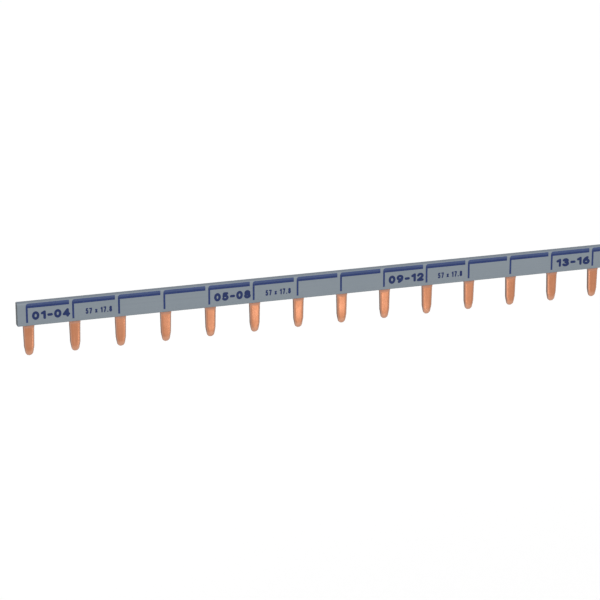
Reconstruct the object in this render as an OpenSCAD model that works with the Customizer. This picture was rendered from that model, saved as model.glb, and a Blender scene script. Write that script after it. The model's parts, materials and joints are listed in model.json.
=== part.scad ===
// Comb busbar: one stamped copper comb in an insulating channel, a prong for each device on a DIN rail.
// X runs along the bar, the printed front faces -Y, and the prongs point down, along -Z.
// The origin is in the middle of the row of prongs, level with the underside of the channel.

/* [Row of prongs] */
// Number of prongs, one for each device of one module width
prong_count = 57; // [2:1:57]
// Distance from one prong to the next, which is the width of one device
pitch = 17.8; // [17:0.1:20]

/* [Copper comb] */
// Thickness of the copper sheet that the comb is stamped from
sheet_t = 1.5; // [1:0.1:2]
// Height of the continuous bar inside the channel
bar_h = 6.7; // [5:0.1:6.8]
// Radius in the corners where a prong leaves the bar
root_r = 0.8; // [0.3:0.1:1]
// Width of a prong where it leaves the channel
prong_w = 4.25; // [3.6:0.05:4.6]
// Length of a prong below the channel
prong_l = 12.2; // [10:0.1:15]
// Length of the plain neck under the channel, above the coined blade
neck_l = 0.8; // [0.4:0.1:1.5]
// How far the coining presses each flat of a blade below the sheet
coin_depth = 0.05; // [0.02:0.01:0.1]
// Width across the flat of the bevel that the coining leaves along every edge of a blade
bevel_w = 0.4; // [0.2:0.05:0.6]
// How far that bevel cuts down into the edge
bevel_d = 0.2; // [0.1:0.02:0.3]
// Lean of a blade's long sides, in degrees
side_lean = 1.4; // [0:0.1:1.6]
// Length of the tapered end of a blade
taper_l = 3.7; // [3:0.1:4]
// Radius of the rounded tip
tip_r = 1.55; // [1.4:0.05:1.7]
// Length over which the flats slope in towards the tip
lead_l = 2.4; // [1.5:0.1:3]
// How far each flat has sloped in at the very tip
lead_depth = 0.22; // [0.1:0.01:0.25]

/* [Insulating channel] */
// Height of the channel
channel_h = 9.2; // [9:0.1:12]
// Thickness of the front and back walls
wall_t = 0.8; // [0.6:0.1:1.5]
// Thickness of the roof over the bar
roof_t = 0.9; // [0.6:0.1:1.2]
// Thickness of the wall that closes each end
end_wall_t = 0.8; // [0.5:0.1:1.2]
// Distance from the middle of the first or last prong to the end of the channel
end_margin = 4.4; // [4.1:0.1:10]
// Radius of the two long top edges
top_r = 1; // [0.4:0.1:1.2]
// Radius of the two long bottom edges
lip_r = 0.3; // [0.1:0.05:0.4]
// Width of the lead-in bevel inside the open bottom
mouth_bevel = 0.25; // [0.1:0.05:0.35]

/* [Fits] */
// Gap between the copper and the channel on each side
side_gap = 0.05; // [0.02:0.01:0.2]
// Gap between the bar and the roof above it
roof_gap = 0.1; // [0.05:0.05:0.3]
// Gap between each end of the bar and the closed end of the channel
end_gap = 0.3; // [0.1:0.1:0.5]

/* [Printed marks] */
// Thickness of the print
ink_t = 0.04; // [0.02:0.01:0.1]
// How far a mark starts before the middle of its prong
mark_lead = 1.15; // [0.5:0.05:2]
// Bare strip between the end of one mark and the start of the next
mark_gap = 1.15; // [0.6:0.05:3]
// Width of the upright stroke
stroke_w = 0.75; // [0.4:0.05:1.5]
// Height of the bare strip under the upright stroke
stroke_foot = 1.25; // [0.5:0.05:3]
// Distance from the top of the channel down to the lower edge of the long stroke
band_drop = 2.15; // [1.5:0.05:4]
// How far round the top edge the long stroke reaches, in degrees
band_wrap = 36; // [10:1:80]
// Radius of the outer corner between the two strokes
corner_r = 1; // [0.3:0.1:1.5]

/* [Hidden] */
$fn = 96;

over = 1; // how far a cutting shape runs past what it cuts

row_l = (prong_count - 1) * pitch;
channel_l = row_l + 2 * end_margin;
slot_w = sheet_t + 2 * side_gap;
channel_t = slot_w + 2 * wall_t;
slot_top = channel_h - roof_t;
front_y = -channel_t / 2;

bar_top = slot_top - roof_gap;
bar_foot = bar_top - bar_h;
bar_l = channel_l - 2 * (end_wall_t + end_gap);

blade_t = sheet_t - 2 * coin_depth;
taper_z = -(prong_l - taper_l);
taper_w = prong_w - 2 * (prong_l - taper_l - neck_l) * tan(side_lean);
tip_z = -(prong_l - tip_r);
tuck = 0.04; // how far the tapered sides cut into the round of the tip
taper_lean = atan2(taper_w / 2, taper_z - tip_z)
    - asin((tip_r - tuck) / norm([taper_w / 2, taper_z - tip_z]));

cell_x = -row_l / 2 - mark_lead;
mark_l = pitch - mark_gap;
band_z = channel_h - band_drop;
last_mark_l = min(mark_l, mark_lead + end_margin);

// The places of the prongs along the bar.
function prong_x(i) = -row_l / 2 + i * pitch;

// Turns a flat outline drawn as (x, z) into a slab of thickness t, centred on the bar.
module upright_slab(t) {
    translate([0, t / 2, 0]) rotate([90, 0, 0]) linear_extrude(t) children();
}

// Runs a cross-section drawn as (y, z) along the bar, from x0 over length l.
module along_bar(x0, l) {
    translate([x0, 0, 0]) rotate([90, 0, 90]) linear_extrude(l) children();
}

// ---- Insulating channel ----

// The outline of the channel seen from its end, larger all round by grow.
module channel_outline(grow = 0) {
    w = channel_t / 2;
    union() {
        for (side = [-1, 1]) {
            translate([side * (w - top_r), channel_h - top_r]) circle(top_r + grow);
            translate([side * (w - lip_r), lip_r]) circle(lip_r + grow);
        }
        translate([-w - grow, lip_r]) square([2 * (w + grow), channel_h - top_r - lip_r]);
        translate([-(w - top_r), lip_r]) square([2 * (w - top_r), channel_h - lip_r + grow]);
        translate([-(w - lip_r), -grow]) square([2 * (w - lip_r), channel_h / 2]);
    }
}

// The slot that takes the bar, open at the bottom with a small lead-in.
module slot_outline() {
    h = slot_w / 2;
    m = mouth_bevel;
    polygon([
        [-h - m - over, -over], [h + m + over, -over],
        [h, m], [h, slot_top], [-h, slot_top], [-h, m]
    ]);
}

module insulating_channel() {
    color([0.53, 0.56, 0.59])
    difference() {
        along_bar(-channel_l / 2, channel_l) channel_outline();
        along_bar(-channel_l / 2 + end_wall_t, channel_l - 2 * end_wall_t) slot_outline();
    }
}

// ---- Copper comb ----

// The bar with a short neck for each prong, as the sheet is stamped.
module stamped_outline() {
    neck_top = bar_foot + over;
    union() {
        translate([-bar_l / 2, bar_foot]) square([bar_l, bar_h]);
        for (i = [0:prong_count - 1])
            translate([prong_x(i), 0]) {
                translate([-prong_w / 2, -neck_l]) square([prong_w, neck_l + neck_top]);
                for (side = [-1, 1])
                    translate([side * prong_w / 2, bar_foot]) root_fillet(side);
            }
    }
}

// The rounded corner between the bar and one side of a prong.
module root_fillet(side) {
    difference() {
        translate([side > 0 ? -over / 4 : -root_r, -root_r]) square([root_r + over / 4, root_r + over / 4]);
        translate([side * root_r, -root_r]) circle(root_r);
    }
}

// Half a bevelled plate, wide on the far side. Its edge passes through x = half_w at height z
// and leans in by lean degrees further down. side is 1 for the right edge and -1 for the left.
module leaning_edge(half_w, z, lean, side) {
    reach = 3 * prong_w;
    h = blade_t / 2;
    mirror([side > 0 ? 0 : 1, 0, 0])
        translate([half_w, 0, z])
            rotate([0, lean, 0])
                translate([0, 0, -2 * prong_l])
                    linear_extrude(4 * prong_l)
                        polygon([
                            [-reach, -h - bevel_d], [-2 * bevel_w, -h - bevel_d], [0, -h + bevel_d],
                            [0, h - bevel_d], [-2 * bevel_w, h + bevel_d], [-reach, h + bevel_d]
                        ]);
}

// Everything above the tip, and the bevelled disc that rounds the tip itself.
module rounded_end() {
    h = blade_t / 2;
    lift = tip_r * sin(taper_lean);
    union() {
        translate([-prong_w, -h - over, tip_z - lift])
            cube([2 * prong_w, blade_t + 2 * over, 2 * prong_l]);
        translate([0, 0, tip_z])
            rotate([90, 0, 0])
                rotate_extrude()
                    polygon([
                        [0, -h - bevel_d], [tip_r - 2 * bevel_w, -h - bevel_d], [tip_r, -h + bevel_d],
                        [tip_r, h - bevel_d], [tip_r - 2 * bevel_w, h + bevel_d], [0, h + bevel_d]
                    ]);
    }
}

// The blade seen from its side: two flats that slope in towards the tip.
module lead_in_outline() {
    h = blade_t / 2;
    end = h - lead_depth;
    polygon([
        [-h, over], [-h, -prong_l + lead_l], [-end, -prong_l], [-end, -prong_l - over],
        [end, -prong_l - over], [end, -prong_l], [h, -prong_l + lead_l], [h, over]
    ]);
}

// One coined blade. It starts inside the neck, so that the two are one piece.
module blade() {
    intersection() {
        translate([-prong_w, -sheet_t, -prong_l - over])
            cube([2 * prong_w, 2 * sheet_t, prong_l + over - neck_l / 2]);
        along_bar(-prong_w, 2 * prong_w) lead_in_outline();
        leaning_edge(prong_w / 2, -neck_l, side_lean, 1);
        leaning_edge(prong_w / 2, -neck_l, side_lean, -1);
        leaning_edge(taper_w / 2, taper_z, taper_lean, 1);
        leaning_edge(taper_w / 2, taper_z, taper_lean, -1);
        rounded_end();
    }
}

module copper_comb() {
    color([0.85, 0.58, 0.42])
    union() {
        upright_slab(sheet_t) stamped_outline();
        for (i = [0:prong_count - 1]) translate([prong_x(i), 0, 0]) blade();
    }
}

// ---- Printed marks ----

// The skin of print on the front of the channel, from the foot of the upright stroke
// to where the long stroke ends on the rounded top edge.
module ink_outline() {
    centre = [front_y + top_r, channel_h - top_r];
    reach = 3 * top_r;
    difference() {
        intersection() {
            channel_outline(ink_t);
            union() {
                translate([front_y - over, stroke_foot])
                    square([over + wall_t / 2, centre[1] - stroke_foot]);
                translate(centre)
                    polygon([
                        [0, 0], [-reach, 0],
                        [-reach, reach * tan(band_wrap / 2)],
                        [-reach * cos(band_wrap), reach * sin(band_wrap)]
                    ]);
            }
        }
        channel_outline();
    }
}

// One mark seen from the front: a long stroke over the cell and an upright one at its start.
module mark_outline(l) {
    top = channel_h + over;
    bend_z = channel_h - top_r * (1 - sin(band_wrap));
    union() {
        difference() {
            translate([0, band_z]) square([l, top - band_z]);
            translate([-over, bend_z - corner_r]) square([over + corner_r, top]);
        }
        intersection() {
            translate([corner_r, bend_z - corner_r]) circle(corner_r);
            translate([0, band_z]) square([l, top]);
        }
        translate([0, stroke_foot - over]) square([stroke_w, bend_z - corner_r - stroke_foot + over]);
    }
}

module module_mark(l) {
    intersection() {
        along_bar(0, l) ink_outline();
        translate([0, front_y + wall_t, 0]) rotate([90, 0, 0]) linear_extrude(2 * wall_t) mark_outline(l);
    }
}

module module_marks() {
    color([0.17, 0.25, 0.45])
    for (i = [0:prong_count - 1])
        translate([cell_x + i * pitch, 0, 0])
            module_mark(i < prong_count - 1 ? mark_l : last_mark_l);
}

insulating_channel();
copper_comb();
module_marks();
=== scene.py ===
# %% [markdown]
# # A comb busbar
#
# A comb busbar feeds a whole row of circuit breakers at once. It is one long strip of copper,
# stamped so that a prong hangs down under every breaker, and pushed into a grey plastic channel
# that keeps fingers off the live bar. This lesson builds its three parts, the printed numbers,
# a studio to look at it in, and a camera.
#
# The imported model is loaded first. It is the fixed frame: every size below is either read from it
# or repeats a size of the part, and nothing that is built here may leave its box.

import json
import math
import random

import bmesh
import bpy
from mathutils import Matrix, Vector, noise

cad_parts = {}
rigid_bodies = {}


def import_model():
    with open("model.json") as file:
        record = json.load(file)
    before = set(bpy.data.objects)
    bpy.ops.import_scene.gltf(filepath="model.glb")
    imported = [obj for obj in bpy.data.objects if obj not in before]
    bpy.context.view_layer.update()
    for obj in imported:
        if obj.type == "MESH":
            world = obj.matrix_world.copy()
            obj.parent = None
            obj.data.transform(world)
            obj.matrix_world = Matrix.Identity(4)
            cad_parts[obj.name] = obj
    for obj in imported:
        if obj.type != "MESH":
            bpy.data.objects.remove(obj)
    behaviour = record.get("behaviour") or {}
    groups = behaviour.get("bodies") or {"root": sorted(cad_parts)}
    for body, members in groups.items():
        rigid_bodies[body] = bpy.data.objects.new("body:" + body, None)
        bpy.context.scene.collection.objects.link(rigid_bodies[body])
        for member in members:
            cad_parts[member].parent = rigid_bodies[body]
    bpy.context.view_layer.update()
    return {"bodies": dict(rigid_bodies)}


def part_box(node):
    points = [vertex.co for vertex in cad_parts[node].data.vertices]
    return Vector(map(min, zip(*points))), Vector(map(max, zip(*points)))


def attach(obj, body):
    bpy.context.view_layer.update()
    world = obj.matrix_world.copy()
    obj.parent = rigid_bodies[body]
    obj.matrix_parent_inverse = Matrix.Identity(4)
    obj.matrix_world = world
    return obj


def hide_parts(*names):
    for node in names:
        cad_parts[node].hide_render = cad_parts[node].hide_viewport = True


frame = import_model()
BODY = next(iter(frame["bodies"]))
MM = 0.001

# %% [markdown]
# ## Where things are
#
# The channel, the copper and the marks are nodes of the frame, so their boxes give the long
# sizes. The number of prongs follows from the length of the channel and from the pitch, the
# distance from one prong to the next. That pitch is the width of one breaker.

# %% Places along the bar
PITCH = 17.8 * MM
END_MARGIN = 4.4 * MM

channel_low, channel_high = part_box("insulating_channel")
comb_low, comb_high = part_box("copper_comb")
HALF_LENGTH = channel_high.x
CHANNEL_H = channel_high.z
FRONT_Y, BACK_Y = channel_low.y, channel_high.y
TIP_Z = comb_low.z
BAR_TOP = comb_high.z
BAR_END = comb_high.x
COUNT = round((2 * HALF_LENGTH - 2 * END_MARGIN) / PITCH) + 1
PRONG_X = [(i - (COUNT - 1) / 2) * PITCH for i in range(COUNT)]
print(COUNT, "prongs, the first at", round(PRONG_X[0] / MM, 2), "mm")
print("channel", round(CHANNEL_H / MM, 2), "mm high")


# %% [markdown]
# ## Two helpers for meshes
#
# All the parts are built from lists of points and faces. One helper turns such lists into an
# object and turns every face outwards. It also marks the edges that are sharper than a given angle,
# so that soft curves are shaded smoothly and creases stay crisp. The other prints what was made.

# %% Mesh helpers
def make_object(name, points, faces, sharp_angle):
    """A mesh object from points and faces, with its faces turned outwards."""
    mesh = bpy.data.meshes.new(name)
    work = bmesh.new()
    verts = [work.verts.new(p) for p in points]
    for face in faces:
        work.faces.new([verts[i] for i in face])
    bmesh.ops.recalc_face_normals(work, faces=work.faces)
    for face in work.faces:
        face.smooth = True
    work.to_mesh(mesh)
    work.free()
    mesh.set_sharp_from_angle(angle=math.radians(sharp_angle))
    obj = bpy.data.objects.new(name, mesh)
    bpy.context.scene.collection.objects.link(obj)
    return obj


def report(obj):
    """Prints how many triangles an object has and how large it is."""
    triangles = sum(len(p.vertices) - 2 for p in obj.data.polygons)
    size = [round(v / MM, 2) for v in obj.dimensions]
    print(f"{obj.name}: {triangles} triangles, {size} mm")


# %% [markdown]
# ## The insulating channel
#
# The real channel is drawn through a die as one endless plastic profile, then cut to length and
# closed at its ends. So it is built as a die would make it: one cross-section, carried along the
# bar through many stations. The stations let the wall wander by a few hundredths of a
# millimetre, as drawn plastic does, which keeps long reflections from looking ruled.
#
# A boolean cut would give the same slot, but it leaves long thin triangles that shade badly.

# %% The channel's cross-section
WALL = 0.8 * MM
ROOF = 0.9 * MM
END_WALL = 0.8 * MM
TOP_R = 1.0 * MM
LIP_R = 0.3 * MM
MOUTH = 0.25 * MM
CUT_R = 0.12 * MM
WALL_HEIGHTS = (0.25, 0.5, 0.7)


def arc(cy, cz, r, start, end, steps):
    """Points (y, z) on an arc, with angles in degrees from +Y towards +Z."""
    turn = [math.radians(start + (end - start) * k / steps) for k in range(steps + 1)]
    return [(cy + r * math.cos(a), cz + r * math.sin(a)) for a in turn]


half_slot = BACK_Y - WALL
outer = (
    [(-half_slot - MOUTH, 0.0)]
    + arc(FRONT_Y + LIP_R, LIP_R, LIP_R, 270, 180, 4)
    + [(FRONT_Y, CHANNEL_H * f) for f in WALL_HEIGHTS]
    + arc(FRONT_Y + TOP_R, CHANNEL_H - TOP_R, TOP_R, 180, 90, 10)
    + arc(BACK_Y - TOP_R, CHANNEL_H - TOP_R, TOP_R, 90, 0, 10)
    + [(BACK_Y, CHANNEL_H * f) for f in reversed(WALL_HEIGHTS)]
    + arc(BACK_Y - LIP_R, LIP_R, LIP_R, 0, -90, 4)
    + [(half_slot + MOUTH, 0.0)]
)
slot = [
    (half_slot, MOUTH),
    (half_slot, CHANNEL_H - ROOF),
    (-half_slot, CHANNEL_H - ROOF),
    (-half_slot, MOUTH),
]
print(len(outer), "points round the outside,", len(slot), "in the slot")


# %% Carry the section along the bar
WANDER = 0.01 * MM
FRONT_SLICE, BACK_SLICE = 7.0, 9.0


def wander(x, y, z):
    """How far the wall drifts inwards here, up to twice WANDER."""
    n = noise.noise(Vector((x * 23.0, z * 90.0, BACK_SLICE if y > 0 else FRONT_SLICE)))
    return WANDER * (1 + max(-1.0, min(1.0, n)))


def ring_at(x, section, inset=0.0):
    """The section at one station, drawn in by inset all round."""
    mid = CHANNEL_H / 2
    shrink_y = 1 - inset / BACK_Y
    shrink_z = 1 - inset / mid
    ring = []
    for y, z in section:
        on_wall = abs(y) > half_slot and LIP_R < z < CHANNEL_H - TOP_R
        push = wander(x, y, z) if on_wall else 0.0
        ring.append((x, (y - math.copysign(push, y)) * shrink_y, mid + (z - mid) * shrink_z))
    return ring


inner_end = HALF_LENGTH - END_WALL
quarters = [x + side * PITCH / 4 for x in PRONG_X for side in (-1, 1)]
stations = sorted([x for x in quarters if abs(x) < inner_end - MM] + [-inner_end, inner_end])
caps = [(HALF_LENGTH - CUT_R, 0.0), (HALF_LENGTH - 0.3 * CUT_R, 0.35 * CUT_R), (HALF_LENGTH, CUT_R)]
whole = [(-x, i) for x, i in reversed(caps)] + [(x, 0.0) for x in stations] + caps

points, faces = [], []
for x, inset in whole:
    points += ring_at(x, outer, inset)
n_out = len(outer)
slot_start = len(points)
for x in stations:
    points += [(x, y, z) for y, z in slot]
n_in = len(slot)

first_slot = len(caps)
for s in range(len(whole) - 1):
    a, b = s * n_out, (s + 1) * n_out
    for k in range(n_out - 1):
        faces.append((a + k, a + k + 1, b + k + 1, b + k))
    if s < first_slot or s >= first_slot + len(stations) - 1:
        faces.append((a + n_out - 1, a, b, b + n_out - 1))
    else:
        i, j = slot_start + (s - first_slot) * n_in, slot_start + (s - first_slot + 1) * n_in
        for k in range(n_in - 1):
            faces.append((i + k, i + k + 1, j + k + 1, j + k))
        faces.append((a + n_out - 1, i, j, b + n_out - 1))
        faces.append((i + n_in - 1, a, b, j + n_in - 1))
for s, i in ((first_slot, 0), (first_slot + len(stations) - 1, len(stations) - 1)):
    a = s * n_out
    faces.append([a + n_out - 1] + [slot_start + i * n_in + k for k in range(n_in)] + [a])
faces.append(list(range(n_out)))
faces.append(list(range((len(whole) - 1) * n_out, len(whole) * n_out)))

channel = make_object("channel", points, faces, sharp_angle=40)
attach(channel, BODY)
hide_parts("insulating_channel")
report(channel)

# %% [markdown]
# ## One prong
#
# Each prong is stamped out of 1.5 mm copper sheet and then coined: a second die squeezes the
# blade so that its edges get a shallow bevel, its tip is rounded, and its flats slope in a little
# towards the tip. A screw terminal can then swallow it easily.
#
# Seen from the front, the blade is an outline with a height at every point: full thickness in the
# middle, less on the soft bevel near the edge, less again near the tip. So the flats are a grid whose
# columns follow the outline, and one function gives the thickness at each grid point. Compared with
# bevelling a box, this puts points exactly where the coining changes the shape.

# %% The blade's outline and thickness
SHEET_T = 1.5 * MM
BAR_H = 6.7 * MM
BAR_FOOT = BAR_TOP - BAR_H
ROOT_R = 0.8 * MM
PRONG_W = 4.25 * MM
NECK = 0.8 * MM
BLADE_HALF_T = 0.7 * MM
BEVEL_W = 0.9 * MM
BEVEL_D = 0.2 * MM
BEVEL_CURVE = 1.7
SIDE_SLOPE = math.tan(math.radians(1.4))
TAPER_L = 3.7 * MM
TIP_R = 1.55 * MM
TUCK = 0.04 * MM
LEAD_L = 2.4 * MM
LEAD_D = 0.198 * MM
RIM_W = 0.26 * MM
RIM_D = 0.14 * MM
SHOULDER = 0.5 * MM
SHOULDER_RISE = 0.04 * MM

taper_z = TIP_Z + TAPER_L
tip_centre_z = TIP_Z + TIP_R
taper_half = PRONG_W / 2 - (-NECK - taper_z) * SIDE_SLOPE
reach = math.hypot(taper_half, taper_z - tip_centre_z)
taper_slope = math.tan(
    math.atan2(taper_half, taper_z - tip_centre_z) - math.asin((TIP_R - TUCK) / reach)
)


def half_width(z):
    """Half the blade's width at height z, seen from the front."""
    straight = PRONG_W / 2 - (-NECK - z) * SIDE_SLOPE
    tapered = taper_half - (taper_z - z) * taper_slope
    if z > tip_centre_z:
        return min(straight, tapered)
    below = tip_centre_z - z
    return min(tapered, math.sqrt(max(0.0, TIP_R**2 - below**2)))


def from_edge(x, z):
    """How far a point of the flat lies inside the outline."""
    if z < tip_centre_z:
        return TIP_R - math.hypot(x, z - tip_centre_z)
    return half_width(z) - abs(x)


def half_thickness(x, z):
    """Half the blade's thickness at a point of the flat."""
    lead = max(0.0, (TIP_Z + LEAD_L - z) / LEAD_L) * LEAD_D
    t = max(0.0, min(1.0, from_edge(x, z) / BEVEL_W))
    rim = max(0.0, 1 - from_edge(x, z) / RIM_W)
    shoulder = max(0.0, min(1.0, (z + NECK + SHOULDER) / SHOULDER)) * SHOULDER_RISE
    return BLADE_HALF_T + shoulder - lead - BEVEL_D * (1 - t) ** BEVEL_CURVE - RIM_D * rim**2


print("blade half width at the neck, the taper and the tip:",
      [round(half_width(z) / MM, 3) for z in (-NECK, taper_z, TIP_Z + 0.3 * MM)])

# %% [markdown]
# ## The comb
#
# The bar and its prongs are one skin, as they are one piece of metal. Every prong is a stack of
# rings. A ring runs across the front flat, round one side, across the back flat and round the
# other side, so neighbouring rings join into plain four-sided faces. The rings go on up through
# the neck and the rounded roots into the bar, and between two prongs the bar closes the gap.
#
# No two stamped prongs are quite alike. Each gets a tiny lean, twist and dent of its own from a
# seeded generator, so the metal catches the light differently from prong to prong.

# %% Columns and rings of a prong
HALF_ACROSS = [0.25, 0.52, 0.62, 0.71, 0.8, 0.87, 0.91, 0.95, 0.98, 1]
ACROSS = [-s for s in reversed(HALF_ACROSS)] + HALF_ACROSS
SIDE_AT = 0.6
SIDE = [-SIDE_AT, SIDE_AT]
SIDE_BULGE = 0.03 * MM
CORNER_BREAK = 0.05 * MM
TIP_TURNS = (7, 16, 25, 34, 44, 55, 66, 78)
ROOT_TURNS = (0, 22.5, 45, 67.5, 90)

tip_levels = [TIP_Z + TIP_R * (1 - math.cos(math.radians(a))) for a in TIP_TURNS]
blade_levels = tip_levels + [
    taper_z - 1.2 * MM, taper_z - 0.5 * MM, taper_z - 0.15 * MM, taper_z + 0.15 * MM,
    taper_z + 1.4 * MM, taper_z + 3.4 * MM, -NECK - 2.2 * MM, -NECK - SHOULDER - 0.06 * MM,
    -NECK - SHOULDER, -NECK - SHOULDER / 2, -NECK - 0.02 * MM,
]
root_levels = [BAR_FOOT - ROOT_R * (1 - math.sin(math.radians(a))) for a in ROOT_TURNS]
plain_levels = [-NECK, -NECK + 0.1 * MM, 0.1 * MM]
NECK_STEP = 0.02 * MM


def root_half_width(z):
    """Half the neck's width, widening through the rounded roots into the bar."""
    if z <= BAR_FOOT - ROOT_R:
        return PRONG_W / 2
    drop = BAR_FOOT - z
    return PRONG_W / 2 + ROOT_R - math.sqrt(max(0.0, ROOT_R**2 - (ROOT_R - drop) ** 2))


def blade_ring(z):
    """One ring of the blade as (x, y, z) points about the prong's own axis."""
    w = half_width(z)
    front = [(s * w, -half_thickness(s * w, z), z) for s in ACROSS]
    back = [(x, -y, z) for x, y, _ in reversed(front)]
    edge = half_thickness(w, z)
    right = [(w + SIDE_BULGE * (1 - (f / SIDE_AT) ** 2), edge * f, z) for f in SIDE]
    left = [(-x, y, z) for x, y, _ in reversed(right)]
    return front + right + back + left


def neck_ring(z, grow=0.0):
    """One ring of the plain stamped neck, with its corners barely broken."""
    w, t = root_half_width(z) - grow, SHEET_T / 2 - grow
    front = [(s * w, -t + (CORNER_BREAK if abs(s) == 1 else 0.0), z) for s in ACROSS]
    back = [(x, -y, z) for x, y, _ in reversed(front)]
    right = [(w, t * f, z) for f in SIDE]
    left = [(-w, t * f, z) for f in reversed(SIDE)]
    return front + right + back + left


FLAT = len(ACROSS)
RING = 2 * FLAT + 2 * len(SIDE)
RINGS = len(blade_levels) + len(plain_levels) + len(root_levels)
print(RING, "points a ring,", RINGS, "rings a prong")

# %% Stamp the prongs
MAX_LEAN, MAX_TWIST = 0.35, 0.7
TWIST_OVER = 4 * MM
DENT_LOW, DENT_HIGH = -9.5, -3.0
MAX_DENT = 0.012
DENT_REACH, DENT_HALF_W = 2.5 * MM, 1.5 * MM

random.seed(57)
points, faces = [], []
prong_starts = []


def stamp_prong(x0, rings, lean, twist, dent_z, dent_d):
    """Adds the points of one prong, with its own lean, twist and dent."""
    for ring in rings:
        z = ring[0][2]
        turn = Matrix.Rotation(twist * min(1.0, max(0.0, -z / TWIST_OVER)), 3, "Z")
        for x, y, _ in ring:
            p = turn @ Vector((x, y, z))
            p.y += math.tan(lean) * min(0.0, z)
            if abs(z - dent_z) < DENT_REACH and abs(x) < DENT_HALF_W:
                p.y += math.copysign(dent_d * (1 - abs(z - dent_z) / DENT_REACH), -y)
            points.append((x0 + p.x, p.y, z))
    for x, y, _ in neck_ring(BAR_FOOT):
        points.append((x0 + x, y, BAR_TOP))


def ring_offsets():
    """Where a prong's last ring and its points on the top of the bar start, counted from its start."""
    return (RINGS - 1) * RING, RINGS * RING


for x0 in PRONG_X:
    lean = math.radians(random.uniform(-MAX_LEAN, MAX_LEAN))
    twist = math.radians(random.uniform(-MAX_TWIST, MAX_TWIST))
    dent_z = random.uniform(DENT_LOW, DENT_HIGH) * MM
    dent_d = random.uniform(0.0, MAX_DENT) * MM
    start = len(points)
    prong_starts.append(start)
    rings = [blade_ring(z) for z in blade_levels]
    rings += [neck_ring(z, NECK_STEP if z == -NECK else 0.0) for z in plain_levels]
    rings += [neck_ring(z) for z in root_levels]
    stamp_prong(x0, rings, lean, twist, dent_z, dent_d)
    faces.append(list(range(start, start + RING)))
    for r in range(RINGS - 1):
        a, b = start + r * RING, start + (r + 1) * RING
        for k in range(RING):
            m = (k + 1) % RING
            faces.append((a + k, a + m, b + m, b + k))
    foot, top = (start + offset for offset in ring_offsets())
    back = FLAT + len(SIDE)
    for k in range(FLAT - 1):
        faces.append((foot + k, foot + k + 1, top + k + 1, top + k))
        faces.append((foot + back + k, foot + back + k + 1, top + back + k + 1, top + back + k))
        faces.append((top + k, top + k + 1, top + back + FLAT - 2 - k, top + back + FLAT - 1 - k))
print(len(prong_starts), "prongs,", len(points), "points")


# %% Join the prongs into a comb
def side_columns(start, right):
    """The points where a prong's stretch of the bar meets the plain bar beside it."""
    foot, top = (start + offset for offset in ring_offsets())
    if right:
        edge = [FLAT - 1] + [FLAT + k for k in range(len(SIDE))] + [FLAT + len(SIDE)]
    else:
        first = 2 * FLAT + len(SIDE)
        edge = [0] + [first + k for k in reversed(range(len(SIDE)))] + [first - 1]
    return [foot + e for e in edge], (top + edge[0], top + edge[-1])


for here, there in zip(prong_starts, prong_starts[1:]):
    low_a, (front_a, back_a) = side_columns(here, True)
    low_b, (front_b, back_b) = side_columns(there, False)
    faces.append(low_a + low_b[::-1])
    faces.append((low_a[0], low_b[0], front_b, front_a))
    faces.append((low_a[-1], low_b[-1], back_b, back_a))
    faces.append((front_a, front_b, back_b, back_a))
t = SHEET_T / 2
for start, right, x_end in ((prong_starts[0], False, -BAR_END), (prong_starts[-1], True, BAR_END)):
    low, (front, back) = side_columns(start, right)
    corner = len(points)
    points += [(x_end, -t, BAR_FOOT), (x_end, t, BAR_FOOT), (x_end, t, BAR_TOP), (x_end, -t, BAR_TOP)]
    faces.append(low + [corner + 1, corner])
    faces.append((low[0], corner, corner + 3, front))
    faces.append((low[-1], corner + 1, corner + 2, back))
    faces.append((front, back, corner + 2, corner + 3))
    faces.append((corner, corner + 1, corner + 2, corner + 3))

comb = make_object("comb", points, faces, sharp_angle=24)
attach(comb, BODY)
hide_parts("copper_comb")
report(comb)

# %% [markdown]
# ## The printed marks
#
# A wheel prints one corner-shaped mark over every module: a broad stroke along the top, which rolls
# a little way over the rounded edge, and a narrow upright that shows where to cut the bar. Ink is
# a skin, so each mark is a thin shell laid over the channel's outline. It is built on a grid that
# follows the outline upwards and the bar sideways.

# %% Lay ink on the channel
INK = 0.03 * MM
INK_FOOT = 0.002 * MM


def on_front(x, s, lift):
    """A point of the front at girth s: the height, and past the flat the way round the edge."""
    flat_top = CHANNEL_H - TOP_R
    if s <= flat_top:
        return (x, FRONT_Y - lift + wander(x, FRONT_Y, s), s)
    a = (s - flat_top) / TOP_R
    r = TOP_R + lift
    return (x, FRONT_Y + TOP_R - r * math.cos(a), flat_top + r * math.sin(a))


def lay_ink(points, faces, spots, cells):
    """Adds a shell of ink: its outer skin, the side that lies on the plastic, and its rim."""
    base = len(points)
    for x, s in spots:
        points.append(on_front(x, s, INK))
        points.append(on_front(x, s, INK_FOOT))
    edges = {}
    for cell in cells:
        ids = [base + 2 * k for k in cell]
        faces.append(tuple(ids))
        faces.append(tuple(k + 1 for k in reversed(ids)))
        for i, j in zip(ids, ids[1:] + ids[:1]):
            edges[(i, j)] = True
    for i, j in edges:
        if (j, i) not in edges:
            faces.append((i, j, j + 1, i + 1))


# %% Shape one mark
MARK_LEAD = 1.15 * MM
MARK_GAP = 1.15 * MM
STROKE_W = 0.75 * MM
STROKE_FOOT = 1.25 * MM
BAND_LOW = CHANNEL_H - 2.15 * MM
BAND_WRAP = 36
BAND_TOP = CHANNEL_H - TOP_R + TOP_R * math.radians(BAND_WRAP)
CORNER_R = 1.0 * MM
CORNER_TURNS = (0, 20, 38, 55, 72, 90)
BAND_STEP = 1.5 * MM
BAND_SHARES = [k / 7 for k in range(8)]
UPRIGHT_SHARES = [0, 0.33, 0.67, 1]


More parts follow.
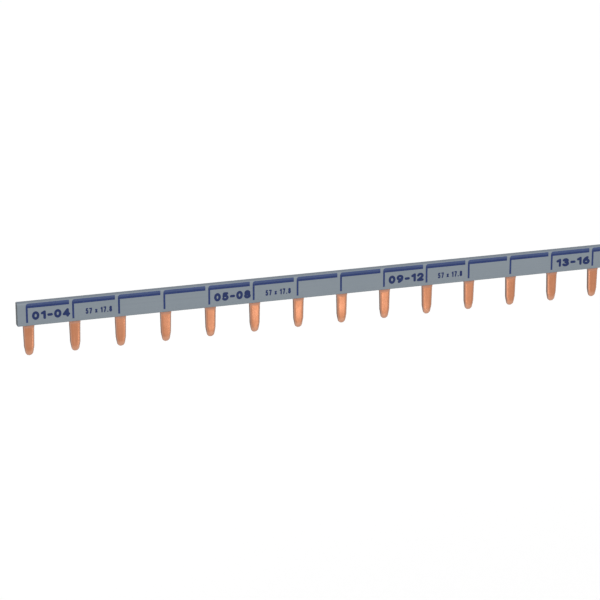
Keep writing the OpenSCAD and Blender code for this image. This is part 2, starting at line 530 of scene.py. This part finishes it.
def grid_cells(columns, low, high, shares):
    """Four-sided cells from the girth low up to high(x), over the given columns."""
    cells = []
    for a, b in zip(columns, columns[1:]):
        for c, d in zip(shares, shares[1:]):
            corners = ((a, c), (b, c), (b, d), (a, d))
            cells.append([(x, low + (high(x) - low) * share) for x, share in corners])
    return cells


def mark_cells(x0, length):
    """Cells that cover one mark: the band with its rounded corner, and the upright below it."""

    def band_roof(x):
        dx = max(0.0, x0 + CORNER_R - x)
        return BAND_TOP - CORNER_R + math.sqrt(max(0.0, CORNER_R**2 - dx**2))

    def upright_roof(x):
        return BAND_LOW

    corner = [x0 + CORNER_R * (1 - math.cos(math.radians(a))) for a in CORNER_TURNS]
    steps = max(1, round((length - CORNER_R) / BAND_STEP))
    straight = [x0 + CORNER_R + (length - CORNER_R) * k / steps for k in range(1, steps + 1)]
    upright = [x for x in corner if x < x0 + STROKE_W] + [x0 + STROKE_W]
    band = grid_cells(corner + straight, BAND_LOW, band_roof, BAND_SHARES)
    return band + grid_cells(upright, STROKE_FOOT, upright_roof, UPRIGHT_SHARES)


def shared_spots(cells):
    """Numbers the corners of cells, so that cells that touch share them."""
    met, numbered = {}, []
    for cell in cells:
        keys = [(round(x, 8), round(s, 8)) for x, s in cell]
        numbered.append([met.setdefault(key, len(met)) for key in keys])
    return list(met), numbered


# %% Print the marks
points, faces = [], []
for x in PRONG_X:
    start_x = x - MARK_LEAD
    length = min(PITCH - MARK_GAP, HALF_LENGTH - CUT_R - start_x)
    spots, cells = shared_spots(mark_cells(start_x, length))
    lay_ink(points, faces, spots, cells)
marks = make_object("marks", points, faces, sharp_angle=40)
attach(marks, BODY)
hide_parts("module_marks")
report(marks)

# %% [markdown]
# ## Printed numbers
#
# Every fourth module carries a bold pair of numbers for the group of modules that starts there, so
# that an electrician can count poles without a ruler. The module after it carries the size of the
# whole row in small thin figures: how many modules, and their pitch.
#
# A font could be used, but its outlines tear when they are thickened. So each figure is a few pen
# strokes, and the ink covers every point that lies within half a pen's width of a stroke. A coarse
# grid is laid over the figure, and the edge of the ink is cut through the grid's cells where that
# distance is reached. Crossing strokes then merge by themselves, and corners get the slight
# rounding that ink has.

# %% Pen strokes of the figures
def bow(cx, cz, rx, rz, start, end, steps=14):
    """Points along a bow of an ellipse, in units of the figure's height."""
    turn = [math.radians(start + (end - start) * k / steps) for k in range(steps + 1)]
    return [(cx + rx * math.cos(a), cz + rz * math.sin(a)) for a in turn]


six = [bow(0.3, 0.3, 0.3, 0.3, 0, 360, 20), bow(0.6, 0.34, 0.6, 0.66, 105, 183, 8)]
STROKES = {
    "0": [bow(0.3, 0.5, 0.3, 0.5, 0, 360, 24)],
    "1": [[(0.04, 0.8), (0.34, 1.0), (0.34, 0.0)]],
    "2": [bow(0.3, 0.7, 0.29, 0.3, 165, -38) + [(0.0, 0.0), (0.6, 0.0)]],
    "3": [bow(0.28, 0.76, 0.26, 0.24, 150, -90), bow(0.28, 0.26, 0.3, 0.26, 90, -150)],
    "4": [[(0.46, 0.0), (0.46, 1.0), (0.0, 0.28), (0.62, 0.28)]],
    "5": [[(0.55, 1.0), (0.12, 1.0), (0.07, 0.55)] + bow(0.28, 0.31, 0.31, 0.31, 130, -150)],
    "6": six,
    "7": [[(0.0, 1.0), (0.6, 1.0), (0.2, 0.0)]],
    "8": [bow(0.3, 0.76, 0.25, 0.24, 0, 360, 20), bow(0.3, 0.26, 0.3, 0.26, 0, 360, 20)],
    "9": [[(0.6 - px, 1 - pz) for px, pz in stroke] for stroke in six],
    "-": [[(0.02, 0.45), (0.4, 0.45)]],
    "x": [[(0.0, 0.08), (0.44, 0.62)], [(0.44, 0.08), (0.0, 0.62)]],
    ".": [[(0.0, 0.0), (0.001, 0.0)]],
    " ": [],
}
print(len(STROKES), "figures")


# %% Ink a figure
def pen_distance(x, z, strokes):
    """Distance from a point to the nearest stroke."""
    best = 1e9
    for stroke in strokes:
        for (ax, az), (bx, bz) in zip(stroke, stroke[1:]):
            dx, dz = bx - ax, bz - az
            t = ((x - ax) * dx + (z - az) * dz) / (dx * dx + dz * dz)
            t = max(0.0, min(1.0, t))
            best = min(best, (x - ax - t * dx) ** 2 + (z - az - t * dz) ** 2)
    return math.sqrt(best)


def ink_cells(strokes, pen, cell):
    """Flat faces that cover the ink of one figure; pen is half the width of the pen."""
    xs = [x for stroke in strokes for x, _ in stroke]
    zs = [z for stroke in strokes for _, z in stroke]
    x0, z0 = min(xs) - pen - cell * 1.3, min(zs) - pen - cell * 1.3
    nx = int((max(xs) + pen - x0) / cell) + 2
    nz = int((max(zs) + pen - z0) / cell) + 2
    depth = [
        [pen - pen_distance(x0 + i * cell, z0 + j * cell, strokes) for j in range(nz + 1)]
        for i in range(nx + 1)
    ]
    met, spots, cells = {}, [], []

    def spot(key, i, j):
        """The number of a spot, which is new or was met in a neighbouring cell."""
        if key not in met:
            met[key] = len(spots)
            spots.append((x0 + i * cell, z0 + j * cell))
        return met[key]

    for i in range(nx):
        for j in range(nz):
            corners = [(i, j), (i + 1, j), (i + 1, j + 1), (i, j + 1)]
            shape = []
            for here, there in zip(corners, corners[1:] + corners[:1]):
                d, e = depth[here[0]][here[1]], depth[there[0]][there[1]]
                if d > 0:
                    shape.append(spot(here, *here))
                if (d > 0) != (e > 0):
                    t = d / (d - e)
                    across = here[0] + t * (there[0] - here[0])
                    upwards = here[1] + t * (there[1] - here[1])
                    shape.append(spot(tuple(sorted((here, there))), across, upwards))
            if len(shape) > 2:
                cells.append(shape)
    return spots, cells


FIGURE_INK = {}
CELL_SHARE = 0.45


def print_words(points, faces, words, x, z, height, width, pen, gap):
    """Prints a row of figures: left edge at x, foot at z, with its outer height and whole width."""
    tall = height - 2 * pen
    natural = [max((px for stroke in STROKES[c] for px, _ in stroke), default=0.0) for c in words]
    stretch = (width - 2 * pen * len(words) - gap * (len(words) - 1)) / sum(natural)
    for c, wide in zip(words, natural):
        if STROKES[c]:
            key = (c, round(tall, 7), round(stretch, 5), pen)
            if key not in FIGURE_INK:
                strokes = [[(px * stretch, pz * tall) for px, pz in stroke] for stroke in STROKES[c]]
                FIGURE_INK[key] = ink_cells(strokes, pen, pen * CELL_SHARE)
            flat, cells = FIGURE_INK[key]
            lay_ink(points, faces, [(x + pen + px, z + pen + pz) for px, pz in flat], cells)
        x += wide * stretch + 2 * pen + gap


# %% Print the numbers
GROUP = 4
BOLD = {"height": 3.4 * MM, "width": 14.7 * MM, "pen": 0.5 * MM, "gap": 0.45 * MM}
THIN = {"height": 2.3 * MM, "width": 10.3 * MM, "pen": 0.25 * MM, "gap": 0.32 * MM}
BOLD_X, BOLD_Z = 1.15 * MM, 2.15 * MM
THIN_X, THIN_Z = 4.0 * MM, 2.45 * MM

points, faces = [], []
for i, x in enumerate(PRONG_X):
    if i % GROUP == 0 and i + GROUP <= COUNT:
        words = f"{i + 1:02d}-{i + GROUP:02d}"
        print_words(points, faces, words, x + BOLD_X, BOLD_Z, **BOLD)
    elif i % GROUP == 1 and i + 1 < COUNT:
        words = f"{COUNT} x {PITCH / MM:.1f}"
        print_words(points, faces, words, x + THIN_X, THIN_Z, **THIN)
numbers = make_object("numbers", points, faces, sharp_angle=40)
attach(numbers, BODY)
report(numbers)

# %% [markdown]
# ## Shader groups
#
# Three effects are shared by several finishes. *Fine grain* is a soft mottle with a matching
# height, for anything moulded, printed or rolled. *Drawn lines* are long faint streaks in one
# direction, left by a die or by rolling. *Facing* tells how far a face looks along each axis, so
# that a roof, an end or a bevel can differ from the wall beside it without any painting by hand.
# Each is built once as a node group with named sockets, and every material sets its own values.

# %% Node helpers
def new_group(name, inputs, outputs):
    """A shader node group with float inputs and named outputs."""
    group = bpy.data.node_groups.new(name, "ShaderNodeTree")
    for label, value in inputs:
        socket = group.interface.new_socket(name=label, in_out="INPUT", socket_type="NodeSocketFloat")
        socket.default_value = value
    for label, kind in outputs:
        group.interface.new_socket(name=label, in_out="OUTPUT", socket_type=kind)
    return group, group.nodes.new("NodeGroupInput"), group.nodes.new("NodeGroupOutput")


def node(tree, kind, links=(), **settings):
    """Adds a node, sets its properties, and sets or links its inputs."""
    made = tree.nodes.new(kind)
    for key, value in settings.items():
        setattr(made, key, value)
    for label, value in dict(links).items():
        if isinstance(value, bpy.types.NodeSocket):
            tree.links.new(value, made.inputs[label])
        else:
            made.inputs[label].default_value = value
    return made


def mathematics(tree, operation, *values, clamp=False):
    """One step of arithmetic on sockets and numbers; returns the result's socket."""
    links = dict(enumerate(values))
    return node(tree, "ShaderNodeMath", links, operation=operation, use_clamp=clamp).outputs[0]


def remap(tree, value, start, end, low=0.0, high=1.0, soft=False):
    """Maps a value from start..end to low..high; soft eases it in and out."""
    links = {"Value": value, "From Min": start, "From Max": end, "To Min": low, "To Max": high}
    kind = "SMOOTHSTEP" if soft else "LINEAR"
    return node(tree, "ShaderNodeMapRange", links, interpolation_type=kind).outputs[0]


# %% Group: fine grain
grain, g_in, g_out = new_group(
    "fine_grain",
    [("Scale", 1.0), ("Contrast", 1.0)],
    [("Mask", "NodeSocketFloat"), ("Height", "NodeSocketFloat")],
)
spot = node(grain, "ShaderNodeTexCoord").outputs["Object"]
scale = g_in.outputs["Scale"]
links = {"Vector": spot, "Scale": scale, "Detail": 5.0, "Roughness": 0.6}
broad = node(grain, "ShaderNodeTexNoise", links)
finer = mathematics(grain, "MULTIPLY", scale, 7.0)
links = {"Vector": spot, "Scale": finer, "Detail": 3.0, "Roughness": 0.7}
small = node(grain, "ShaderNodeTexNoise", links)
centred = mathematics(grain, "SUBTRACT", broad.outputs["Fac"], 0.5)
strong = mathematics(grain, "MULTIPLY", centred, g_in.outputs["Contrast"])
mask = mathematics(grain, "ADD", strong, 0.5, clamp=True)
grain.links.new(mask, g_out.inputs["Mask"])
grain.links.new(small.outputs["Fac"], g_out.inputs["Height"])
print("group:", grain.name)

# %% Group: drawn lines
lines, l_in, l_out = new_group(
    "drawn_lines",
    [("Along", 1.0), ("Across", 1.0), ("Upright", 1.0)],
    [("Mask", "NodeSocketFloat"), ("Height", "NodeSocketFloat")],
)
spot = node(lines, "ShaderNodeTexCoord").outputs["Object"]
links = {"X": l_in.outputs["Along"], "Y": l_in.outputs["Across"], "Z": l_in.outputs["Upright"]}
stretch = node(lines, "ShaderNodeCombineXYZ", links).outputs[0]
scaled = node(lines, "ShaderNodeVectorMath", {0: spot, 1: stretch}, operation="MULTIPLY")
links = {"Vector": scaled.outputs[0], "Scale": 1.0, "Detail": 4.0, "Roughness": 0.65}
streak = node(lines, "ShaderNodeTexNoise", links).outputs["Fac"]
lines.links.new(remap(lines, streak, 0.35, 0.65), l_out.inputs["Mask"])
lines.links.new(streak, l_out.inputs["Height"])
print("group:", lines.name)

# %% Group: facing
facing, _, f_out = new_group(
    "facing",
    [],
    [("Ends", "NodeSocketFloat"), ("Front", "NodeSocketFloat"), ("Roof", "NodeSocketFloat")],
)
surface = node(facing, "ShaderNodeNewGeometry")
share = node(facing, "ShaderNodeVectorMath", {0: surface.outputs["Normal"]}, operation="ABSOLUTE")
split = node(facing, "ShaderNodeSeparateXYZ", {0: share.outputs[0]})
for axis, label in zip("XYZ", ("Ends", "Front", "Roof")):
    facing.links.new(split.outputs[axis], f_out.inputs[label])
print("group:", facing.name)


# %% Start a material
def new_material(name):
    """A material with an empty Principled shader; returns its tree and the shader."""
    material = bpy.data.materials.new(name)
    material.use_nodes = True
    tree = material.node_tree
    tree.nodes.clear()
    shader = tree.nodes.new("ShaderNodeBsdfPrincipled")
    out = tree.nodes.new("ShaderNodeOutputMaterial")
    tree.links.new(shader.outputs["BSDF"], out.inputs["Surface"])
    return material, tree, shader


def use_group(tree, group, **values):
    """Places a node group in a material with its own values."""
    made = tree.nodes.new("ShaderNodeGroup")
    made.node_tree = group
    for label, value in values.items():
        made.inputs[label].default_value = value
    return made


def two_colours(tree, mask, dark, light):
    """Blends two colours by a mask."""
    mix = tree.nodes.new("ShaderNodeMix")
    mix.data_type = "RGBA"
    tree.links.new(mask, mix.inputs["Factor"])
    mix.inputs["A"].default_value = (*dark, 1.0)
    mix.inputs["B"].default_value = (*light, 1.0)
    return mix.outputs["Result"]


def multiplied(tree, colour, tint):
    """A colour multiplied by a tint."""
    mix = tree.nodes.new("ShaderNodeMix")
    mix.data_type, mix.blend_type = "RGBA", "MULTIPLY"
    mix.inputs["Factor"].default_value = 1.0
    tree.links.new(colour, mix.inputs["A"])
    tree.links.new(tint, mix.inputs["B"])
    return mix.outputs["Result"]


def over(tree, mask, amount, colour, cover):
    """Lays a plain colour over another where a mask says so, at most by the given amount."""
    part = mathematics(tree, "MULTIPLY", mask, amount)
    mix = tree.nodes.new("ShaderNodeMix")
    mix.data_type = "RGBA"
    tree.links.new(part, mix.inputs["Factor"])
    tree.links.new(colour, mix.inputs["A"])
    mix.inputs["B"].default_value = (*cover, 1.0)
    return mix.outputs["Result"]


def mask_by_height(tree, start, end):
    """A mask that rises from 0 to 1 between two heights of the part."""
    place = node(tree, "ShaderNodeTexCoord")
    split = node(tree, "ShaderNodeSeparateXYZ", {0: place.outputs["Object"]})
    return remap(tree, split.outputs["Z"], start, end, soft=True)


def bump(tree, shader, height, strength, distance):
    """Feeds a height to the shader's normal."""
    made = node(tree, "ShaderNodeBump", {"Height": height, "Strength": strength, "Distance": distance})
    tree.links.new(made.outputs["Normal"], shader.inputs["Normal"])


# %% [markdown]
# ## Grey drawn plastic
#
# The channel is a dull blue-grey plastic with a satin skin. Up close, drawn plastic has faint lines
# along its length where the die has a scratch, and a fine orange peel. Both go into the roughness
# and the bump; the colour itself moves by only a few per cent. The roof and the closed ends are
# rougher than the walls, and their colour is darkened, the ends most: that darkening is painted shade.

# %% Material: channel plastic
plastic, tree, shader = new_material("grey_drawn_plastic")
shader.inputs["Specular IOR Level"].default_value = 0.3
peel = use_group(tree, grain, Scale=900.0, Contrast=1.6)
die = use_group(tree, lines, Along=6.0, Across=2600.0, Upright=2600.0)
mottle = use_group(tree, grain, Scale=45.0, Contrast=1.2)
base = two_colours(tree, mottle.outputs["Mask"], (0.221, 0.259, 0.293), (0.245, 0.281, 0.314))
tint = two_colours(tree, die.outputs["Mask"], (0.95, 0.95, 0.955), (1.0, 1.0, 1.0))
base = multiplied(tree, base, tint)
look = use_group(tree, facing)
roof = remap(tree, look.outputs["Roof"], 0.6, 0.95)
ends = remap(tree, look.outputs["Ends"], 0.6, 0.95)
# Painted shade: the roof, and more strongly the closed ends, get a darker colour than the walls.
base = over(tree, roof, 0.4, base, (0.135, 0.16, 0.21))
base = over(tree, ends, 0.7, base, (0.085, 0.09, 0.09))
tree.links.new(base, shader.inputs["Base Color"])
dull = mathematics(tree, "MAXIMUM", roof, ends)
polished = remap(tree, peel.outputs["Mask"], 0.0, 1.0, 0.46, 0.62)
rough = mathematics(tree, "MULTIPLY_ADD", dull, 0.3, polished)
tree.links.new(rough, shader.inputs["Roughness"])
height = mathematics(tree, "ADD", die.outputs["Height"], peel.outputs["Height"])
bump(tree, shader, height, 0.25, 0.02 * MM)
channel.data.materials.append(plastic)
print("material:", plastic.name)

# %% [markdown]
# ## Bare copper
#
# Stamped copper is metal, so its colour is the colour of its reflections. Three things vary over
# it. Rolling leaves fine lines that run up the prongs. Handling and air leave slightly browner,
# duller patches. And the faces that the punch sheared are rougher and less metallic than the flats,
# with a nearly black colour that is painted shade, while the coined bevels next to them get a paler,
# pinker colour than the flats: partly the burnish of the die, partly a painted highlight.
#
# These masks need no painting by hand. The flats face front and back, the bevels turn a little
# away, and the sheared sides turn away wholly, so the direction that a face looks in tells what it
# is. The shader turns the face's share along Y into two masks. A mask by height makes the lead-in
# at the tips paler, which is a painted highlight. Another, just under the channel, gives the necks a
# browner, rougher and less metallic band, which is a painted shadow of the channel.

# %% Material: copper
TIP_HIGHLIGHT_FROM, TIP_HIGHLIGHT_TO = -9.6 * MM, -11.0 * MM
ROOT_SHADOW_FROM, ROOT_SHADOW_TO = -1.7 * MM, -0.5 * MM

copper, tree, shader = new_material("bare_stamped_copper")
patch = use_group(tree, grain, Scale=150.0, Contrast=2.2)
blot = use_group(tree, grain, Scale=620.0, Contrast=2.6)
rolled = use_group(tree, lines, Along=4200.0, Across=4200.0, Upright=70.0)
look = use_group(tree, facing)
coined_and_highlight = remap(tree, look.outputs["Front"], 0.995, 0.955)
sheared_and_shade = remap(tree, look.outputs["Front"], 0.84, 0.64)
lead = mask_by_height(tree, TIP_HIGHLIGHT_FROM, TIP_HIGHLIGHT_TO)
root = mask_by_height(tree, ROOT_SHADOW_FROM, ROOT_SHADOW_TO)

base = two_colours(tree, patch.outputs["Mask"], (0.472, 0.197, 0.103), (0.566, 0.246, 0.139))
tint = two_colours(tree, rolled.outputs["Mask"], (0.88, 0.85, 0.82), (1.0, 1.0, 1.0))
base = multiplied(tree, base, tint)
tint = two_colours(tree, blot.outputs["Mask"], (0.93, 0.92, 0.90), (1.0, 1.0, 1.0))
base = multiplied(tree, base, tint)
# The bevels' paler, pinker colour is partly the die's burnish and partly a painted highlight.
base = over(tree, coined_and_highlight, 0.85, base, (0.50, 0.27, 0.19))
# Painted shade: the sheared sides get a nearly black colour; their roughness and lower metallic are
# real.
base = over(tree, sheared_and_shade, 0.92, base, (0.115, 0.072, 0.056))
# Painted highlight: the lead-in at the tips is made paler.
base = over(tree, lead, 0.45, base, (0.63, 0.35, 0.24))
# Painted shadow of the channel: the necks just below it get a browner colour and a duller finish.
base = over(tree, root, 0.6, base, (0.48, 0.26, 0.19))
tree.links.new(base, shader.inputs["Base Color"])

dull = mathematics(tree, "MAXIMUM", sheared_and_shade, root)
tree.links.new(remap(tree, dull, 0.0, 1.0, 0.92, 0.62), shader.inputs["Metallic"])
polished = remap(tree, patch.outputs["Mask"], 0.0, 1.0, 0.34, 0.24)
rough = mathematics(tree, "MULTIPLY_ADD", dull, 0.2, polished)
tree.links.new(rough, shader.inputs["Roughness"])
height = mathematics(tree, "ADD", rolled.outputs["Height"], blot.outputs["Height"])
bump(tree, shader, height, 0.3, 0.012 * MM)
comb.data.materials.append(copper)
print("material:", copper.name)

# %% [markdown]
# ## Printing ink
#
# The dark blue ink is thin, so the mottle of the plastic shows through it, and it is a little
# duller than the bare wall. Tiny lighter specks are places where the ink did not take. Towards the
# rounded top edge the ink is made paler and greyer, which is a painted highlight of the edge. The
# small figures are stamped wet, so their ink lies thicker and looks darker than the wheel's.

# %% Material: ink
EDGE_HIGHLIGHT_FROM, EDGE_HIGHLIGHT_TO = 7.65 * MM, 8.1 * MM


def blue_ink(name, dark, light, worn_amount):
    """A printing ink between two blues, with specks where it did not take and a painted edge
    highlight.
    """
    material, tree, shader = new_material(name)
    shader.inputs["Specular IOR Level"].default_value = 0.3
    cover = use_group(tree, grain, Scale=260.0, Contrast=1.8)
    speck = use_group(tree, grain, Scale=2400.0, Contrast=3.0)
    base = two_colours(tree, cover.outputs["Mask"], dark, light)
    worn = remap(tree, speck.outputs["Mask"], 0.72, 0.95)
    base = over(tree, worn, worn_amount, base, (0.13, 0.16, 0.24))
    # Painted highlight: the ink is made paler and greyer towards the rounded top edge.
    edge_highlight = mask_by_height(tree, EDGE_HIGHLIGHT_FROM, EDGE_HIGHLIGHT_TO)
    base = over(tree, edge_highlight, 0.17, base, (0.19, 0.25, 0.38))
    tree.links.new(base, shader.inputs["Base Color"])
    rough = remap(tree, cover.outputs["Mask"], 0.0, 1.0, 0.40, 0.55)
    tree.links.new(rough, shader.inputs["Roughness"])
    bump(tree, shader, speck.outputs["Height"], 0.2, 0.008 * MM)
    return material


wheel_ink = blue_ink("dark_blue_ink", (0.007, 0.023, 0.108), (0.017, 0.038, 0.148), 0.3)
stamp_ink = blue_ink("dense_blue_ink", (0.002, 0.013, 0.080), (0.006, 0.021, 0.105), 0.15)
marks.data.materials.append(wheel_ink)
numbers.data.materials.append(stamp_ink)
print("materials:", wheel_ink.name, stamp_ink.name)

# %% [markdown]
# ## Floor and daylight
#
# The comb is held by its prongs when it is in use, so here it floats above a white floor. The
# floor is far below, so the comb's shadow on it is soft. The world is white to the camera and in
# reflections, and gives an even fill. One wide sun from the front left gives the light a direction,
# and a low panel in front is mirrored by a few of the prongs, as a window would be.

# %% Floor
FLOOR_Z = -0.3
FLOOR_HALF = 14.0
floor_mesh = bpy.data.meshes.new("floor")
floor_mesh.from_pydata(
    [(-FLOOR_HALF, -FLOOR_HALF, FLOOR_Z), (FLOOR_HALF, -FLOOR_HALF, FLOOR_Z),
     (FLOOR_HALF, FLOOR_HALF, FLOOR_Z), (-FLOOR_HALF, FLOOR_HALF, FLOOR_Z)],
    [], [(0, 1, 2, 3)],
)
floor = bpy.data.objects.new("floor", floor_mesh)
bpy.context.scene.collection.objects.link(floor)
FLOOR_GLOW = 0.45
paper, tree, shader = new_material("white_paper")
shader.inputs["Base Color"].default_value = (0.62, 0.62, 0.62, 1.0)
shader.inputs["Roughness"].default_value = 0.9
shader.inputs["Specular IOR Level"].default_value = 0.0
shader.inputs["Emission Color"].default_value = (1.0, 1.0, 1.0, 1.0)
path = tree.nodes.new("ShaderNodeLightPath")
seen = mathematics(tree, "MAXIMUM", path.outputs["Is Camera Ray"], path.outputs["Is Glossy Ray"])
glow = mathematics(tree, "MULTIPLY", seen, FLOOR_GLOW)
tree.links.new(glow, shader.inputs["Emission Strength"])
floor_mesh.materials.append(paper)
print("floor at", FLOOR_Z, "m")

# %% World
FILL = 0.55
world = bpy.data.worlds.new("studio")
bpy.context.scene.world = world
world.use_nodes = True
tree = world.node_tree
tree.nodes.clear()
path = tree.nodes.new("ShaderNodeLightPath")
seen = mathematics(tree, "MAXIMUM", path.outputs["Is Camera Ray"], path.outputs["Is Glossy Ray"])
seen = mathematics(tree, "MAXIMUM", seen, path.outputs["Is Transmission Ray"])
strength = remap(tree, seen, 0.0, 1.0, FILL, 1.0)
links = {"Color": (1.0, 1.0, 1.0, 1.0), "Strength": strength}
background = node(tree, "ShaderNodeBackground", links)
out = tree.nodes.new("ShaderNodeOutputWorld")
tree.links.new(background.outputs[0], out.inputs["Surface"])
print("world fill:", FILL)


# %% Lamps
def towards(azimuth, elevation):
    """The direction of a lamp. Azimuth 0 is straight in front, and positive is to the right."""
    a, e = math.radians(azimuth), math.radians(elevation)
    return Vector((math.sin(a) * math.cos(e), -math.cos(a) * math.cos(e), math.sin(e)))


def add_lamp(name, kind, strength, place, aim):
    """A lamp of some kind at a place, aimed at a point."""
    data = bpy.data.lights.new(name, kind)
    data.energy = strength
    lamp = bpy.data.objects.new(name, data)
    bpy.context.scene.collection.objects.link(lamp)
    lamp.location = place
    lamp.rotation_euler = (place - aim).to_track_quat("Z", "Y").to_euler()
    return lamp


KEY_DISTANCE = 2.0
key = add_lamp("key", "SUN", 1.7, towards(-18, 41) * KEY_DISTANCE, Vector())
key.data.angle = math.radians(25)

GLEAM_PLACE = Vector((-0.19, -0.6, -0.2))
GLEAM_AIM = Vector((-0.383, 0.0, -0.006))
gleam = add_lamp("low_front_panel", "AREA", 0.155, GLEAM_PLACE, GLEAM_AIM)
gleam.data.shape = "RECTANGLE"
gleam.data.size = 0.11
gleam.data.size_y = 0.16
gleam.visible_camera = False

# %% [markdown]
# ## Camera
#
# A long lens from the front left and a little above: the bar recedes to the right and leaves the
# picture, as such long parts are usually shown.

# %% Camera
CAMERA_FROM_FIRST_PRONG = Vector((-180.85, -893.14, 311.08)) * MM
CAMERA_AZIMUTH, CAMERA_ELEVATION = -17.895, 18.405
data = bpy.data.cameras.new("camera")
data.lens = 152.46
data.sensor_width = 36.0
data.clip_start, data.clip_end = 0.01, 60.0
camera = bpy.data.objects.new("camera", data)
bpy.context.scene.collection.objects.link(camera)
a, e = math.radians(CAMERA_AZIMUTH), math.radians(CAMERA_ELEVATION)
back = Vector((math.sin(a) * math.cos(e), -math.cos(a) * math.cos(e), math.sin(e)))
camera.location = Vector((PRONG_X[0], 0, 0)) + CAMERA_FROM_FIRST_PRONG
camera.rotation_euler = back.to_track_quat("Z", "Y").to_euler()
bpy.context.scene.camera = camera
bpy.context.scene.view_settings.view_transform = "Standard"
print("camera at", [round(v, 4) for v in camera.location])
